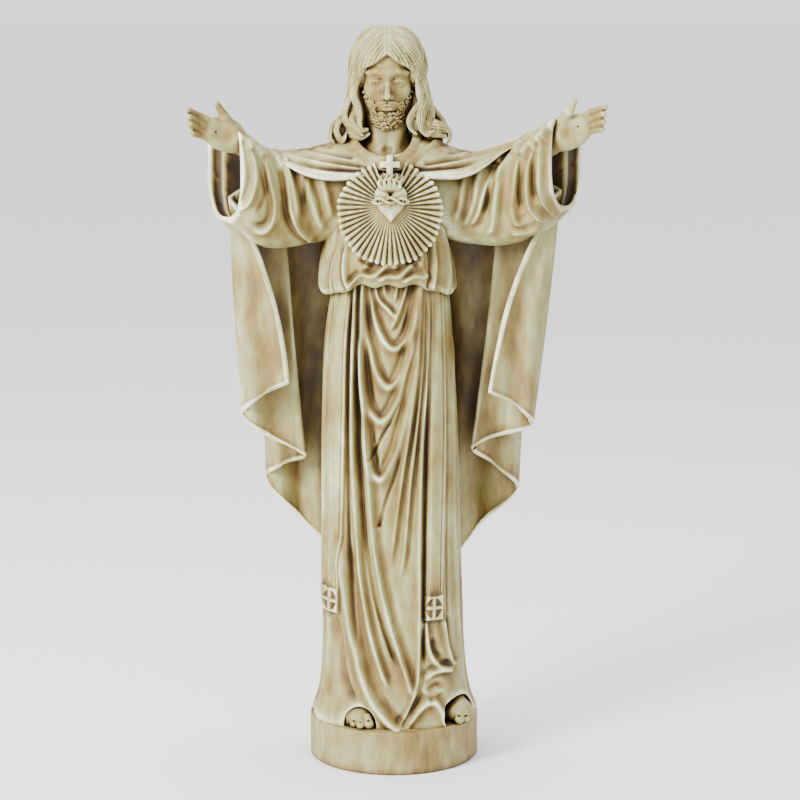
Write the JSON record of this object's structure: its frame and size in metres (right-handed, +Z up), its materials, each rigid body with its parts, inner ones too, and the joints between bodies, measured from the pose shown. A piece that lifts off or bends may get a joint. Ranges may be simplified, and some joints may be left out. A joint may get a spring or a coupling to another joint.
{
  "type": "sacred heart statue",
  "caption": "Standing robed religious figure with open arms, long cape and a rayed heart emblem on the chest, cast in one with its round base.",
  "frame": {"origin": "centre of the underside of the round base", "axes": "+Z up through the figure, the figure faces -Y, +X is to the right of a person who looks at its face"},
  "size_m": [0.3324, 0.1416, 0.6098],
  "materials": {
    "cast_stone": "matt cast stone resin, ivory drybrushed over a brown wash"
  },
  "bodies": {
    "root": {"statue": "cast_stone"}
  },
  "joints": []
}
